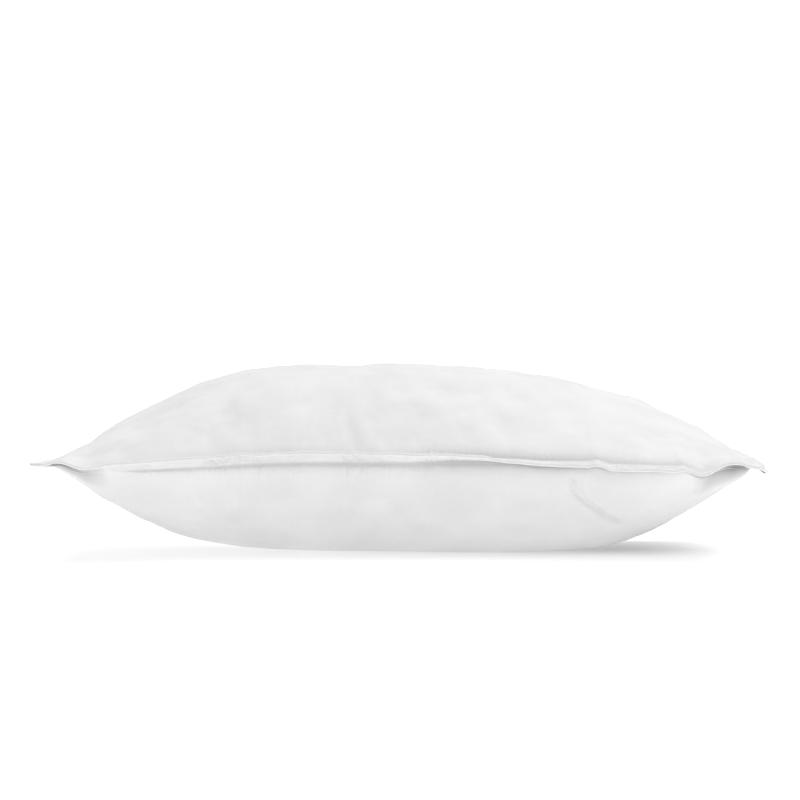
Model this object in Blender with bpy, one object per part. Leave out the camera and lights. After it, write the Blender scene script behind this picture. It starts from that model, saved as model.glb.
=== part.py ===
"""A bed pillow: two woven panels, joined by a corded double-needle seam around a loose filling.

X runs along the pillow and Y across it, with the front edge at -Y. The pillow rests on Z = 0.
Surfaces are worked out in pattern coordinates: u and v run from -1 to 1 between the seam lines.
"""

from itertools import pairwise
import math

import bmesh
import bpy
from mathutils import Vector

# Driving dimensions, in metres
FLAT_LENGTH = 0.660          # sewn cover laid flat and empty, bead to bead
FLAT_WIDTH = 0.508
LOFT = 0.170                 # height of the filled pillow
TIP_SHARE = 0.983            # the corner tips stand this share of the flat size apart

# Seam: panels, sleeve tail and threads lie flat on one another across the flange
FLANGE_WIDTH = 0.009         # from the seam line to the panels' cut edge
PANEL_THICKNESS = 0.0006
SLEEVE_THICKNESS = 0.00025
SLEEVE_SLIT = 0.00015        # between the sleeve's two tails
CORD_RADIUS = 0.00105
THREAD_RADIUS = 0.00022
INNER_ROW = 0.0016           # stitch rows, measured out from the seam line
OUTER_ROW = 0.0062
TAIL_END = 0.0008            # inner end of the sleeve's tail, out from the seam line
GAP = 0.0003                 # left between neighbouring pieces
BUTT_GAP = 0.0006            # where the two ends of the piping meet

# Height of the seam line's middle plane above the floor
SEAM_LOW = 0.085
SEAM_RISE = 0.0120           # how much higher it rides in the middle of a side than at the tips
SEAM_CREST = -0.13          # where along u that is on the long sides
SEAM_TILT = 0.002            # how much it drops from the middle to the right-hand tips

# Swell of the panels: 1 - |t|**power on each side of a crest
UPPER_CREST = -0.12
UPPER_LEFT_POWER = 2.5
UPPER_RIGHT_POWER = 2.8
UPPER_ACROSS_POWER = 2.7
LOWER_CREST = 0.0
LOWER_LEFT_POWER = 2.4
LOWER_RIGHT_POWER = 3.0
LOWER_ACROSS_POWER = 2.75
LOWER_FULLNESS = 0.75        # under 1 rounds the lower panel out beside the seam
LOWER_DEPTH = 0.114          # how far the lower panel would hang below the seam without a floor
FLOOR_BLEND = 0.013          # half height over which it rounds into its flat base

# Filling
FILLING_CLEARANCE = 0.004    # to the panels above and below
FILLING_REACH = 0.955        # how close it comes to the seam line, in pattern coordinates
FILLING_ROUNDING = 0.18      # how much its corners are drawn in

# Mesh
CELLS_ALONG = 26
CELLS_ACROSS = 20
EDGE_CROWDING = 0.4          # 0 spaces the rows evenly, 1 crowds them against the seam
CORNER_STEPS = 4
CORD_SIDES = 8
THREAD_SIDES = 4
SLEEVE_ARC_STEPS = 6
SHARP_ANGLE = math.radians(50)

# Worked out from the above
TAIL_HALF = SLEEVE_THICKNESS + SLEEVE_SLIT / 2
PANEL_INSIDE = TAIL_HALF + GAP
BORE_RADIUS = CORD_RADIUS + GAP
BEAD_RADIUS = BORE_RADIUS + SLEEVE_THICKNESS
BEAD_CENTRE = FLANGE_WIDTH + GAP + BEAD_RADIUS
EDGE_REACH = BEAD_CENTRE + BEAD_RADIUS
THREAD_HEIGHT = PANEL_INSIDE + PANEL_THICKNESS + GAP + THREAD_RADIUS


def filled_size(flat):
    """Width over the middle of a panel of this flat size, once it has arched to half the loft."""
    return flat - 8 / 3 * (LOFT / 2) ** 2 / flat


TIP_HALF_LENGTH = FLAT_LENGTH * TIP_SHARE / 2 - EDGE_REACH
TIP_HALF_WIDTH = FLAT_WIDTH * TIP_SHARE / 2 - EDGE_REACH
MIDDLE_HALF_LENGTH = filled_size(FLAT_LENGTH) / 2 - EDGE_REACH
MIDDLE_HALF_WIDTH = filled_size(FLAT_WIDTH) / 2 - EDGE_REACH
LENGTH_BOW = TIP_HALF_LENGTH - MIDDLE_HALF_LENGTH
WIDTH_BOW = TIP_HALF_WIDTH - MIDDLE_HALF_WIDTH


# Shape

def swell(t, crest, left_power, right_power):
    """1 at the crest and 0 at both seam lines."""
    if t < crest:
        return 1 - ((crest - t) / (1 + crest)) ** left_power
    return 1 - ((t - crest) / (1 - crest)) ** right_power


def bump(t):
    """1 at 0, falling smoothly to 0 at -1 and 1."""
    return math.cos(math.pi / 2 * min(abs(t), 1)) ** 2


def seam_height(u, v):
    """Both long sides and the right-hand end ride high in the middle, and the left-hand end doesn't."""
    along = bump(u - SEAM_CREST)
    across = bump(v) * (1 + u) / 2
    return SEAM_LOW - SEAM_TILT * u + SEAM_RISE * (along + across - along * across)


def plan(u, v):
    """Place of a pattern point seen from above: the middle of each edge is drawn in."""
    return u * (MIDDLE_HALF_LENGTH + LENGTH_BOW * v**2), v * (MIDDLE_HALF_WIDTH + WIDTH_BOW * u**2)


def upper_inside(u, v):
    """Height of the upper panel's inner face. Its outer face reaches the loft at the crest."""
    rise = LOFT - PANEL_THICKNESS - PANEL_INSIDE - seam_height(UPPER_CREST, 0)
    along = swell(u, UPPER_CREST, UPPER_LEFT_POWER, UPPER_RIGHT_POWER)
    across = swell(v, 0, UPPER_ACROSS_POWER, UPPER_ACROSS_POWER)
    return seam_height(u, v) + PANEL_INSIDE + rise * along * across


def lower_inside(u, v):
    """Height of the lower panel's inner face, flattened where the panel lies on the floor."""
    along = swell(u, LOWER_CREST, LOWER_LEFT_POWER, LOWER_RIGHT_POWER)
    across = swell(v, 0, LOWER_ACROSS_POWER, LOWER_ACROSS_POWER)
    hanging = seam_height(u, v) - PANEL_INSIDE - LOWER_DEPTH * (along * across) ** LOWER_FULLNESS
    above_base = hanging - PANEL_THICKNESS
    if above_base >= FLOOR_BLEND:
        return hanging
    return PANEL_THICKNESS + max(above_base + FLOOR_BLEND, 0) ** 2 / (4 * FLOOR_BLEND)


def rows(cells):
    """Pattern coordinates of the mesh rows, crowded a little towards both seam lines."""
    places = []
    for step in range(cells + 1):
        even = 2 * step / cells - 1
        crowded = math.sin(math.pi / 2 * even)
        places.append(even + (crowded - even) * EDGE_CROWDING)
    return places


def outward(u, v, on_long_side):
    """Level direction square to the seam line at one of its points."""
    if on_long_side:
        return Vector((-2 * WIDTH_BOW * u, v * TIP_HALF_LENGTH, 0)).normalized()
    return Vector((u * TIP_HALF_WIDTH, -2 * LENGTH_BOW * v, 0)).normalized()


def seam_stations():
    """Steps round the seam line, anticlockwise from the middle of the back edge.

    Each is a pattern point and the outward direction there. A corner has one for each
    step of the fan that turns the direction from one edge to the next.
    """
    along, across = rows(CELLS_ALONG), rows(CELLS_ACROSS)
    back = [(u, 1, outward(u, 1, True)) for u in reversed(along)]
    left = [(-1, v, outward(-1, v, False)) for v in reversed(across)]
    front = [(u, -1, outward(u, -1, True)) for u in along]
    right = [(1, v, outward(1, v, False)) for v in across]
    stations = []
    for side, following in pairwise([back, left, front, right, back]):
        stations += side
        u, v, before = side[-1]
        after = following[0][2]
        for step in range(1, CORNER_STEPS):
            stations.append((u, v, before.lerp(after, step / CORNER_STEPS).normalized()))
    start = CELLS_ALONG // 2
    return stations[start:] + stations[:start]


def beside_seam(station, out, up):
    """The point this far outside the seam line and above its middle plane."""
    u, v, direction = station
    return Vector((*plan(u, v), seam_height(u, v) + up)) + direction * out


def circle_profile(out, up, radius, sides):
    turns = [2 * math.pi * (side + 0.5) / sides for side in range(sides)]
    return [(out + radius * math.cos(turn), up + radius * math.sin(turn)) for turn in turns]


def arc_profile(radius, mouth_half):
    """An arc round the bead's centre, from one lip of a mouth that faces the seam to the other."""
    lip = math.pi - math.asin(mouth_half / radius)
    turns = [lip * (2 * step / SLEEVE_ARC_STEPS - 1) for step in range(SLEEVE_ARC_STEPS + 1)]
    return [(BEAD_CENTRE + radius * math.cos(turn), radius * math.sin(turn)) for turn in turns]


def sleeve_profile():
    """A strip folded round the cord, with both of its tails lying in the seam."""
    wrap = arc_profile(BEAD_RADIUS, TAIL_HALF)
    bore = arc_profile(BORE_RADIUS, SLEEVE_SLIT / 2)
    upper_tail = [(TAIL_END, TAIL_HALF), (TAIL_END, SLEEVE_SLIT / 2)]
    lower_tail = [(TAIL_END, -SLEEVE_SLIT / 2), (TAIL_END, -TAIL_HALF)]
    return wrap + upper_tail + bore[::-1] + lower_tail


# Objects

def cloth_material(name, colour, roughness):
    material = bpy.data.materials.new(name)
    material.use_nodes = True
    shader = material.node_tree.nodes["Principled BSDF"]
    shader.inputs["Base Color"].default_value = (*colour, 1)
    shader.inputs["Roughness"].default_value = roughness
    shader.inputs["Metallic"].default_value = 0
    return material


def add_object(name, mesh, material):
    """Turns a finished bmesh into a smooth-shaded object."""
    data = bpy.data.meshes.new(name)
    mesh.to_mesh(data)
    mesh.free()
    data.materials.append(material)
    data.shade_smooth()
    data.set_sharp_from_angle(angle=SHARP_ANGLE)
    made = bpy.data.objects.new(name, data)
    bpy.context.scene.collection.objects.link(made)
    return made


def add_grid(mesh, along, across, point_at):
    """Fills a bmesh with a sheet that faces up, and returns its vertices by pattern point."""
    corners = {(u, v): mesh.verts.new(point_at(u, v)) for u in along for v in across}
    for u, next_u in pairwise(along):
        for v, next_v in pairwise(across):
            places = [(u, v), (next_u, v), (next_u, next_v), (u, next_v)]
            mesh.faces.new([corners[place] for place in places])
    return corners


def add_panel(name, inside_height, faces_up, material):
    """A panel with its flange: the inner face is modelled, and thickened outwards."""
    mesh = bmesh.new()
    corners = add_grid(
        mesh, rows(CELLS_ALONG), rows(CELLS_ACROSS), lambda u, v: (*plan(u, v), inside_height(u, v))
    )
    stations = seam_stations()
    up = PANEL_INSIDE if faces_up else -PANEL_INSIDE
    rim = [mesh.verts.new(beside_seam(station, FLANGE_WIDTH, up)) for station in stations]
    steps = list(zip(stations, rim))
    for (here, rim_here), (there, rim_there) in pairwise(steps + steps[:1]):
        face = [corners[here[:2]], rim_here, rim_there, corners[there[:2]]]
        mesh.faces.new(dict.fromkeys(face))
    if not faces_up:
        bmesh.ops.reverse_faces(mesh, faces=mesh.faces)
    panel = add_object(name, mesh, material)
    solidify = panel.modifiers.new("Thickness", "SOLIDIFY")
    solidify.thickness = PANEL_THICKNESS
    solidify.offset = 1
    solidify.use_even_offset = True


def add_edge_run(name, profile, joins_up, material):
    """Carries a profile of (out, up) points all round the seam.

    One that doesn't join up starts and ends at a butt joint in the middle of the back edge.
    """
    mesh = bmesh.new()
    stations = seam_stations()
    loops = [[mesh.verts.new(beside_seam(s, out, up)) for out, up in profile] for s in stations]
    if joins_up:
        loops.append(loops[0])
    else:
        short_of_start = Vector((BUTT_GAP, 0, 0))
        loops.append([mesh.verts.new(corner.co + short_of_start) for corner in loops[0]])
        mesh.faces.new(loops[0])
        mesh.faces.new(reversed(loops[-1]))
    for here, there in pairwise(loops):
        for corner in range(len(profile)):
            mesh.faces.new((here[corner - 1], there[corner - 1], there[corner], here[corner]))
    bmesh.ops.recalc_face_normals(mesh, faces=mesh.faces)
    add_object(name, mesh, material)


def add_threads(height, name, material):
    """The inner and the outer row of stitching on one side of the flange."""
    for row, out in (("inner", INNER_ROW), ("outer", OUTER_ROW)):
        profile = circle_profile(out, height, THREAD_RADIUS, THREAD_SIDES)
        add_edge_run(f"{name}_{row}", profile, True, material)


def add_filling(material):
    """A closed lens that keeps clear of both panels, blunt at its rim."""
    mesh = bmesh.new()
    along, across = rows(CELLS_ALONG), rows(CELLS_ACROSS)

    def point_at(u, v, inside_height, clearance):
        inner_u = u * FILLING_REACH * (1 - FILLING_ROUNDING * v**2)
        inner_v = v * FILLING_REACH * (1 - FILLING_ROUNDING * u**2)
        return *plan(inner_u, inner_v), inside_height(inner_u, inner_v) + clearance

    add_grid(mesh, along, across, lambda u, v: point_at(u, v, lower_inside, FILLING_CLEARANCE))
    bmesh.ops.reverse_faces(mesh, faces=mesh.faces)
    add_grid(mesh, along, across, lambda u, v: point_at(u, v, upper_inside, -FILLING_CLEARANCE))
    bmesh.ops.bridge_loops(mesh, edges=[edge for edge in mesh.edges if edge.is_boundary])
    add_object("filling", mesh, material)


def main():
    for old in list(bpy.data.objects):
        bpy.data.objects.remove(old)
    ticking = cloth_material("ticking", (0.90, 0.90, 0.89), 0.85)
    binding = cloth_material("binding", (0.92, 0.92, 0.91), 0.80)
    cotton_cord = cloth_material("cotton_cord", (0.86, 0.84, 0.78), 0.90)
    thread = cloth_material("thread", (0.94, 0.94, 0.93), 0.55)
    down = cloth_material("down", (0.93, 0.92, 0.88), 0.95)

    add_panel("upper_panel", upper_inside, True, ticking)
    add_panel("lower_panel", lower_inside, False, ticking)
    add_edge_run("piping_sleeve", sleeve_profile(), False, binding)
    add_edge_run("piping_cord", circle_profile(BEAD_CENTRE, 0, CORD_RADIUS, CORD_SIDES), False, cotton_cord)
    add_threads(THREAD_HEIGHT, "needle_thread", thread)
    add_threads(-THREAD_HEIGHT, "bobbin_thread", thread)
    add_filling(down)


main()
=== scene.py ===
"""The looks of a filled bed pillow: a woven cover, gathered along a corded double-needle seam.

Everything is in metres in the CAD frame: X along the pillow, the front edge at -Y, floor at Z = 0.
Surfaces are worked out in pattern coordinates, where u and v run from -1 to 1 between the seam
lines. A place along the seam is s: 0 at the front left tip, 1 front right, 2 back right, 3 back left.
"""

import math

import bpy
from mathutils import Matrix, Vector
import numpy as np


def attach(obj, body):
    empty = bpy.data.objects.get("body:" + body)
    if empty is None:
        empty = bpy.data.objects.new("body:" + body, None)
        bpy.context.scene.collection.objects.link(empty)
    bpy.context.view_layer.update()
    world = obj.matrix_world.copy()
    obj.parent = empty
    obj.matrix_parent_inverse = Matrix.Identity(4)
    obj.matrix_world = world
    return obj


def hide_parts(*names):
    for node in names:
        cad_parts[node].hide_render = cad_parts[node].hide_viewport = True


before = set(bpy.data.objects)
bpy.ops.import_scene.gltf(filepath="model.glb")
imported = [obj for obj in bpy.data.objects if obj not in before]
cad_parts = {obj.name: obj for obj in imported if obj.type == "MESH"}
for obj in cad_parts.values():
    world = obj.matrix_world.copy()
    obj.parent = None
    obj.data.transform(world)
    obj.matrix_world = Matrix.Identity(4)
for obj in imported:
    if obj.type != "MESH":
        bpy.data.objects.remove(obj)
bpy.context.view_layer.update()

# ---- dimensions, as in the CAD
FLAT_LENGTH, FLAT_WIDTH = 0.660, 0.508
LOFT = 0.170
TIP_SHARE = 0.983
FLANGE_WIDTH = 0.009
PANEL_THICKNESS = 0.0006
SLEEVE_THICKNESS = 0.00025
CORD_RADIUS = 0.00105
BEAD_RADIUS = 0.0016
INNER_ROW, OUTER_ROW = 0.0016, 0.0062
PANEL_INSIDE = 0.000625  # from the seam's middle plane to a panel's inner face
FACE = PANEL_INSIDE + PANEL_THICKNESS  # and to its outer face
BEAD_CENTRE = FLANGE_WIDTH + 0.0019  # from the seam line, like the rows and the flange's width
EDGE_REACH = BEAD_CENTRE + BEAD_RADIUS

SEAM_LOW, SEAM_RISE, SEAM_CREST, SEAM_TILT = 0.085, 0.0120, -0.13, 0.002
UPPER_CREST, UPPER_LEFT_POWER, UPPER_RIGHT_POWER, UPPER_ACROSS_POWER = -0.12, 2.5, 2.8, 2.7
LOWER_LEFT_POWER, LOWER_RIGHT_POWER, LOWER_ACROSS_POWER = 2.4, 3.0, 2.75
LOWER_FULLNESS, LOWER_DEPTH, FLOOR_BLEND = 0.75, 0.114, 0.013

PATTERN_HALF = np.array([FLAT_LENGTH / 2 - EDGE_REACH, FLAT_WIDTH / 2 - EDGE_REACH])
TIP_HALF = np.array([FLAT_LENGTH, FLAT_WIDTH]) * TIP_SHARE / 2 - EDGE_REACH
TAKEN_UP = 8 / 3 * (LOFT / 2) ** 2 / np.array([FLAT_LENGTH, FLAT_WIDTH])
MIDDLE_HALF = (np.array([FLAT_LENGTH, FLAT_WIDTH]) - TAKEN_UP) / 2 - EDGE_REACH
BOW = TIP_HALF - MIDDLE_HALF
SIDE_LENGTHS = np.array([PATTERN_HALF[0], PATTERN_HALF[1]] * 2) * 2
SEAM_LENGTH = SIDE_LENGTHS.sum()
TIPS_ALONG = np.concatenate([[0], np.cumsum(SIDE_LENGTHS)])  # distance of each tip along the seam

# ---- how this pillow lies
# Tilt of the flange above level, in degrees, at places along the seam
FLANGE_TILT = (
    (0, 6), (0.018, 16), (0.05, 20), (0.11, 34), (0.24, 43), (0.42, 42), (0.5, 33), (0.58, 20),
    (0.68, -7), (0.8, -16), (0.88, -14), (0.93, 2), (0.97, 24), (0.99, 8), (0.9995, -4),
    (1.0005, -34), (1.08, -34), (1.25, -40), (1.5, -34), (1.75, -42), (1.94, -26), (2, -6),
    (2.06, -16), (2.3, -30), (2.48, -16), (2.64, 26), (2.82, 40), (2.94, 10), (3, -14),
    (3.06, -26), (3.3, -36), (3.55, -28), (3.8, -30), (3.95, -4), (4, 6),
)
# How far the bead rides above the CAD's seam, in metres
BEAD_LIFT = (
    (0, 0.001), (0.018, 0.0035), (0.058, -0.0035), (0.1, -0.0005), (0.3, 0.001), (0.5, 0),
    (0.6, 0.0015), (0.66, -0.001), (0.7, -0.0015), (0.765, -0.0004), (0.775, 0.0012),
    (0.8, -0.0018), (0.86, -0.001), (0.885, -0.0008), (0.897, 0.0006), (0.9229, -0.0038),
    (0.966, 0.0065), (0.978, 0.0066), (0.99, 0.0042), (0.9995, 0.003), (1.0005, -0.0025),
    (1.04, 0.0035), (1.12, 0.0015), (1.3, -0.007), (1.6, -0.006), (1.92, -0.004), (2, -0.004),
    (2.1, 0.001), (2.4, -0.002), (2.7, 0.001), (2.9, -0.003), (3, -0.011),
    (3.1, -0.009), (3.4, -0.008), (3.7, -0.008), (3.93, -0.0008), (4, 0.001),
)
# How far the panels swell out beside the flange, in metres
LOWER_BULGE = (
    (0, -0.0015), (0.02, -0.006), (0.06, -0.0075), (0.1, -0.0035), (0.14, -0.0006), (0.5, 0.0006),
    (0.6, 0.0026), (0.88, 0.0036), (0.925, 0.001), (0.955, -0.007), (0.982, -0.007), (1, -0.001),
    (1.03, 0.007), (1.2, 0.007), (1.4, 0.003), (1.8, 0.003), (2, 0), (2.2, 0.005),
    (2.8, 0.004), (3, 0), (3.2, 0.002), (3.8, 0.002), (3.96, -0.001), (4, -0.0015),
)
UPPER_BULGE = (
    (0, 0), (0.12, 0.0015), (0.5, 0.002), (0.62, 0.0035), (0.9, 0.003), (1, 0),
    (1.3, 0.0015), (1.8, 0.0015), (2, 0), (2.3, 0.003), (2.8, 0.002), (3, 0),
    (3.3, 0.0012), (3.8, 0.001), (4, 0),
)
BULGE_PEAK = 0.0085  # distance from the seam line at which they are fullest
# How far the lower panel billows out right under the flange, in metres
LOWER_TUCK = (
    (0, 0), (0.08, 0), (0.13, 0.0028), (0.5, 0.0034), (0.62, 0.0048), (0.7, 0.0068), (0.88, 0.0064),
    (0.925, 0.004), (0.945, 0), (1.03, 0), (1.15, 0.005), (1.85, 0.005), (1.97, 0), (2.03, 0),
    (2.15, 0.006), (2.85, 0.0045), (2.97, 0), (3.03, 0), (3.15, 0.005), (3.85, 0.0045), (4, 0),
)
TUCK_PEAK = 0.0030
TUCK_RISE = 0.36  # how far it rises for each metre outwards
# How much fuller than the CAD the upper panel is along its crest, in metres over u
UPPER_TRIM = (
    (-1, -0.001), (-0.89, 0.0034), (-0.78, 0.001), (-0.55, 0.0036), (-0.15, -0.0022), (0.1, 0),
    (0.5, 0.002), (0.75, 0.002), (0.92, 0.0014), (1, 0),
)
# How strongly the cloth is puckered by the stitching, along the seam
PUCKERING = (
    (0, 0.2), (0.1, 0.5), (0.205, 0.5), (0.23, 1.7), (0.27, 1.6), (0.29, 0.6), (0.31, 1.2),
    (0.355, 1.2), (0.38, 0.5), (0.42, 1.3), (0.49, 1.4), (0.52, 0.6), (0.56, 0.9), (0.61, 0.7),
    (0.66, 0.35), (0.85, 0.35), (0.9, 0.7), (0.93, 0.3), (1, 0.2), (1.1, 0.9), (1.9, 0.9),
    (2, 0.2), (2.1, 1), (2.9, 1), (3, 0.2), (3.1, 0.9), (3.9, 0.9), (4, 0.2),
)
LIFT_REACH = 0.060  # how far into the upper panel the bead's lift carries
LOWER_LIFT_REACH = 0.030  # and into the lower one

# ---- mesh
FINE_STEP = 0.0014  # along the seam
GRID_STEP = 0.0023  # from left to right over the middle of a panel
FRONT_STEP, BACK_STEP = 0.0017, 0.0033  # from front to back, near the front edge and behind that
FRONT_REACH = 0.065  # from the front edge, where the step has grown to the second
GRID_INSET = 0.0152  # the grid ends this far inside the seam line
INNER_LAYER_STEP, INNER_LAYER_INSET = 0.0070, 0.0100  # of the panel's inner face
CORNER_STEPS = 12
CORNER_SPREAD = 0.0005  # the fan at a tip covers this much of the seam each way
# Rings of the panel between the seam line and the grid, by their distance from the line
BAND = (0.0, 0.0006, 0.0013, 0.0021, 0.0030, 0.0040, 0.0051, 0.0064, 0.0080, 0.0100, 0.0125)
BAND_REACH = 0.013  # this close to the seam line the cloth eases into the flange's tilt
Z = np.array([0.0, 0.0, 1.0])


def eased(place, keys):
    """A curve through a few (place, value) pairs that levels off at each of them."""
    places, values = np.array(keys, float).T
    after = np.clip(np.searchsorted(places, place, side="right"), 1, len(places) - 1)
    share = (place - places[after - 1]) / (places[after] - places[after - 1])
    weight = (1 - np.cos(np.pi * np.clip(share, 0, 1))) / 2
    return values[after - 1] * (1 - weight) + values[after] * weight


def swell(t, crest, left_power, right_power):
    """1 at the crest and 0 at both seam lines, flatter on top for a higher power."""
    aside = np.where(t < crest, (crest - t) / (1 + crest), (t - crest) / (1 - crest))
    return 1 - np.clip(aside, 0, 1) ** np.where(t < crest, left_power, right_power)


def bump(t):
    """1 at 0, and level again at 0 from 1 outwards."""
    return np.cos(np.pi / 2 * np.clip(t, -1, 1)) ** 2


def cad_seam_height(u, v):
    along = bump(u - SEAM_CREST)
    across = bump(v) * (1 + u) / 2
    return SEAM_LOW - SEAM_TILT * u + SEAM_RISE * (along + across - along * across)


# ---- places along the seam

def on_edge(s):
    """Pattern point of a place along the seam."""
    side = np.clip(np.floor(s).astype(int), 0, 3)
    run = 2 * (s - side) - 1
    u = np.choose(side, [run, np.ones_like(run), -run, -np.ones_like(run)])
    v = np.choose(side, [-np.ones_like(run), run, np.ones_like(run), -run])
    return u, v


def distance_along(s):
    """Distance along the flat seam line from the front left tip."""
    return np.interp(s, np.arange(5), TIPS_ALONG)


def along_to_place(along):
    """Place along the seam at that distance from the front left tip."""
    return np.interp(along, TIPS_ALONG, np.arange(5))


def seam_shift(s):
    """How far the stitch line is above the CAD's, so that the bead rides where it should."""
    tilt = np.radians(eased(s, FLANGE_TILT))
    return eased(s, BEAD_LIFT) - BEAD_CENTRE * np.sin(tilt)


def edge_distances(u, v):
    """For each edge of the panel: distance to it, place along the seam beside it, distance to a tip."""
    half_length, half_width = PATTERN_HALF
    to_end, to_side = (1 - np.abs(u)) * half_length, (1 - np.abs(v)) * half_width
    return (
        ((1 + v) * half_width, TIPS_ALONG[0] + (1 + u) * half_length, to_end),
        ((1 - u) * half_length, TIPS_ALONG[1] + (1 + v) * half_width, to_side),
        ((1 - v) * half_width, TIPS_ALONG[2] + (1 - u) * half_length, to_end),
        ((1 + u) * half_length, TIPS_ALONG[3] + (1 - v) * half_width, to_side),
    )


def carried_inwards(u, v, along_seam, reach):
    """Spreads a value given along the seam into the panel, fading away from each edge."""
    total, near = np.zeros_like(u), []
    for distance, along, _ in edge_distances(u, v):
        near.append(np.exp(-distance / reach))
        total += near[-1] * along_seam(along_to_place(along))
    for tip, value in enumerate(along_seam(np.arange(4.0))):
        total -= near[tip] * near[tip - 1] * value    # both edges that meet there carry it
    return total


def plan(u, v):
    """X and Y of a pattern point: the edges bow in over the middle."""
    return u * (MIDDLE_HALF[0] + BOW[0] * v**2), v * (MIDDLE_HALF[1] + BOW[1] * u**2)


def smooth_surface(u, v, upper, stand_off):
    """The panel without its wrinkles, stand_off outside the fabric's middle surface."""
    reach = LIFT_REACH if upper else LOWER_LIFT_REACH
    seam = cad_seam_height(u, v) + carried_inwards(u, v, seam_shift, reach)
    if upper:
        crest_height = float(cad_seam_height(np.float64(UPPER_CREST), np.float64(0)))
        rise = LOFT - FACE - crest_height
        along = swell(u, UPPER_CREST, UPPER_LEFT_POWER, UPPER_RIGHT_POWER)
        along = rise * along + eased(u, UPPER_TRIM)
        height = seam + along * swell(v, 0, UPPER_ACROSS_POWER, UPPER_ACROSS_POWER) + stand_off
    else:
        along = swell(u, 0, LOWER_LEFT_POWER, LOWER_RIGHT_POWER)
        across = swell(v, 0, LOWER_ACROSS_POWER, LOWER_ACROSS_POWER)
        hanging = seam - stand_off - LOWER_DEPTH * np.clip(along * across, 0, 1) ** LOWER_FULLNESS
        blended = np.clip(hanging + FLOOR_BLEND, 0, None) ** 2 / (4 * FLOOR_BLEND)
        height = np.where(hanging > FLOOR_BLEND, hanging, blended)
    x, y = plan(u, v)
    return np.stack([x, y, height], axis=-1)


# ---- ripples

def seam_noise(rng, shortest, longest, waves=48):
    """Irregular ripples along the seam with wavelengths in that range, about 1 high, as a function."""
    counts = rng.integers(int(SEAM_LENGTH / longest), int(SEAM_LENGTH / shortest), waves)
    starts = rng.uniform(0, 2 * np.pi, waves)
    table_at = np.linspace(0, SEAM_LENGTH, 8192)
    table = np.cos(2 * np.pi * np.outer(table_at / SEAM_LENGTH, counts) + starts).sum(axis=1)
    table /= np.sqrt(waves / 2)
    return lambda along: np.interp(np.mod(along, SEAM_LENGTH), table_at, table)


def cloth_noise(rng, shortest, longest, waves=40):
    """Irregular hills over a panel, about 1 high, as a function of metres along and across it."""
    turns = rng.uniform(0, 2 * np.pi, waves)
    frequencies = 2 * np.pi / rng.uniform(shortest, longest, waves)
    starts = rng.uniform(0, 2 * np.pi, waves)

    def value(x, y):
        total = np.zeros_like(x)
        for turn, frequency, start in zip(turns, frequencies, starts):
            total += np.cos(frequency * (x * math.cos(turn) + y * math.sin(turn)) + start)
        return total / math.sqrt(waves / 2)

    return value


RNG = np.random.default_rng(20)
GATHERS = seam_noise(RNG, 0.0038, 0.0062)  # between neighbouring stitches
PUCKERS = seam_noise(RNG, 0.009, 0.024)
FOLDS = seam_noise(RNG, 0.030, 0.090)
LEAN = seam_noise(RNG, 0.060, 0.200)  # how far the ripples slant
SWAY = seam_noise(RNG, 0.025, 0.080)  # of the flange as a whole
CLUSTERS = seam_noise(RNG, 0.040, 0.160)  # where the puckers are stronger
LUMPS = (cloth_noise(RNG, 0.024, 0.080), cloth_noise(RNG, 0.024, 0.080))
CRINKLES = (cloth_noise(RNG, 0.008, 0.018), cloth_noise(RNG, 0.008, 0.018))

GATHER_HEIGHT, PUCKER_HEIGHT, FOLD_HEIGHT = 0.00036, 0.00013, 0.00034
GATHER_PEAK, PUCKER_PEAK, FOLD_PEAK = 0.0022, 0.0036, 0.017  # how far in they are highest
LUMP_HEIGHT, CRINKLE_HEIGHT = 0.0006, 0.00005
SWAY_HEIGHT, PUFF_HEIGHT = 0.0005, 0.00068
MOST_SWAY, RUFFLE = 1.2, 0.35  # limit of the sway, and the share of shorter waves in it
TIP_CALM = 0.055  # the seam is stiff and even this close to a tip
TIP_CALM_INSIDE = 0.004, 0.035  # and so is the cloth up to the first distance, less to the second
LEAST_STRENGTH = 0.15  # share of the puckering that is left at a tip
SLANT, SLANT_REACH = 0.5, 0.05  # how far the ripples slant, and how far in
LOWER_OFFSET = 0.0017  # the lower panel's ripples lie this far along
LUMPS_FROM, CRINKLES_FROM, CREASES_FROM = 0.040, 0.010, 0.003  # from the seam, where they are full


def rise_and_fall(distance, peak):
    """0 at the seam, 1 at the peak distance, then fading."""
    return distance / peak * np.exp(1 - distance / peak)


def smooth_step(value, low, high):
    t = np.clip((value - low) / (high - low), 0, 1)
    return t * t * (3 - 2 * t)


def strength(along):
    """How strongly the cloth is puckered at a place along the seam."""
    to_tip = np.abs(np.asarray(along)[..., None] - TIPS_ALONG).min(axis=-1)
    uneven = np.clip(0.9 + 0.35 * CLUSTERS(along), 0.3, 1.8) * eased(along_to_place(along), PUCKERING)
    return uneven * (LEAST_STRENGTH + (1 - LEAST_STRENGTH) * smooth_step(to_tip, 0.0, TIP_CALM))


def gathered(u, v, upper):
    """Height of the ripples that fan out from the stitching into a panel."""
    height = np.zeros_like(u)
    for distance, along, to_tip in edge_distances(u, v):
        shift = SLANT * LEAN(along) * np.minimum(distance, SLANT_REACH)
        slant = along + shift + (0 if upper else LOWER_OFFSET)
        calm = smooth_step(to_tip, *TIP_CALM_INSIDE) * strength(along)
        height += calm * GATHER_HEIGHT * rise_and_fall(distance, GATHER_PEAK) ** 2 * GATHERS(slant)
        height += calm * PUCKER_HEIGHT * rise_and_fall(distance, PUCKER_PEAK) ** 2 * PUCKERS(slant)
        height += calm * FOLD_HEIGHT * rise_and_fall(distance, FOLD_PEAK) * FOLDS(slant)
        bulge = eased(along_to_place(along), UPPER_BULGE if upper else LOWER_BULGE)
        height += bulge * rise_and_fall(distance, BULGE_PEAK)
    return height


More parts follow.
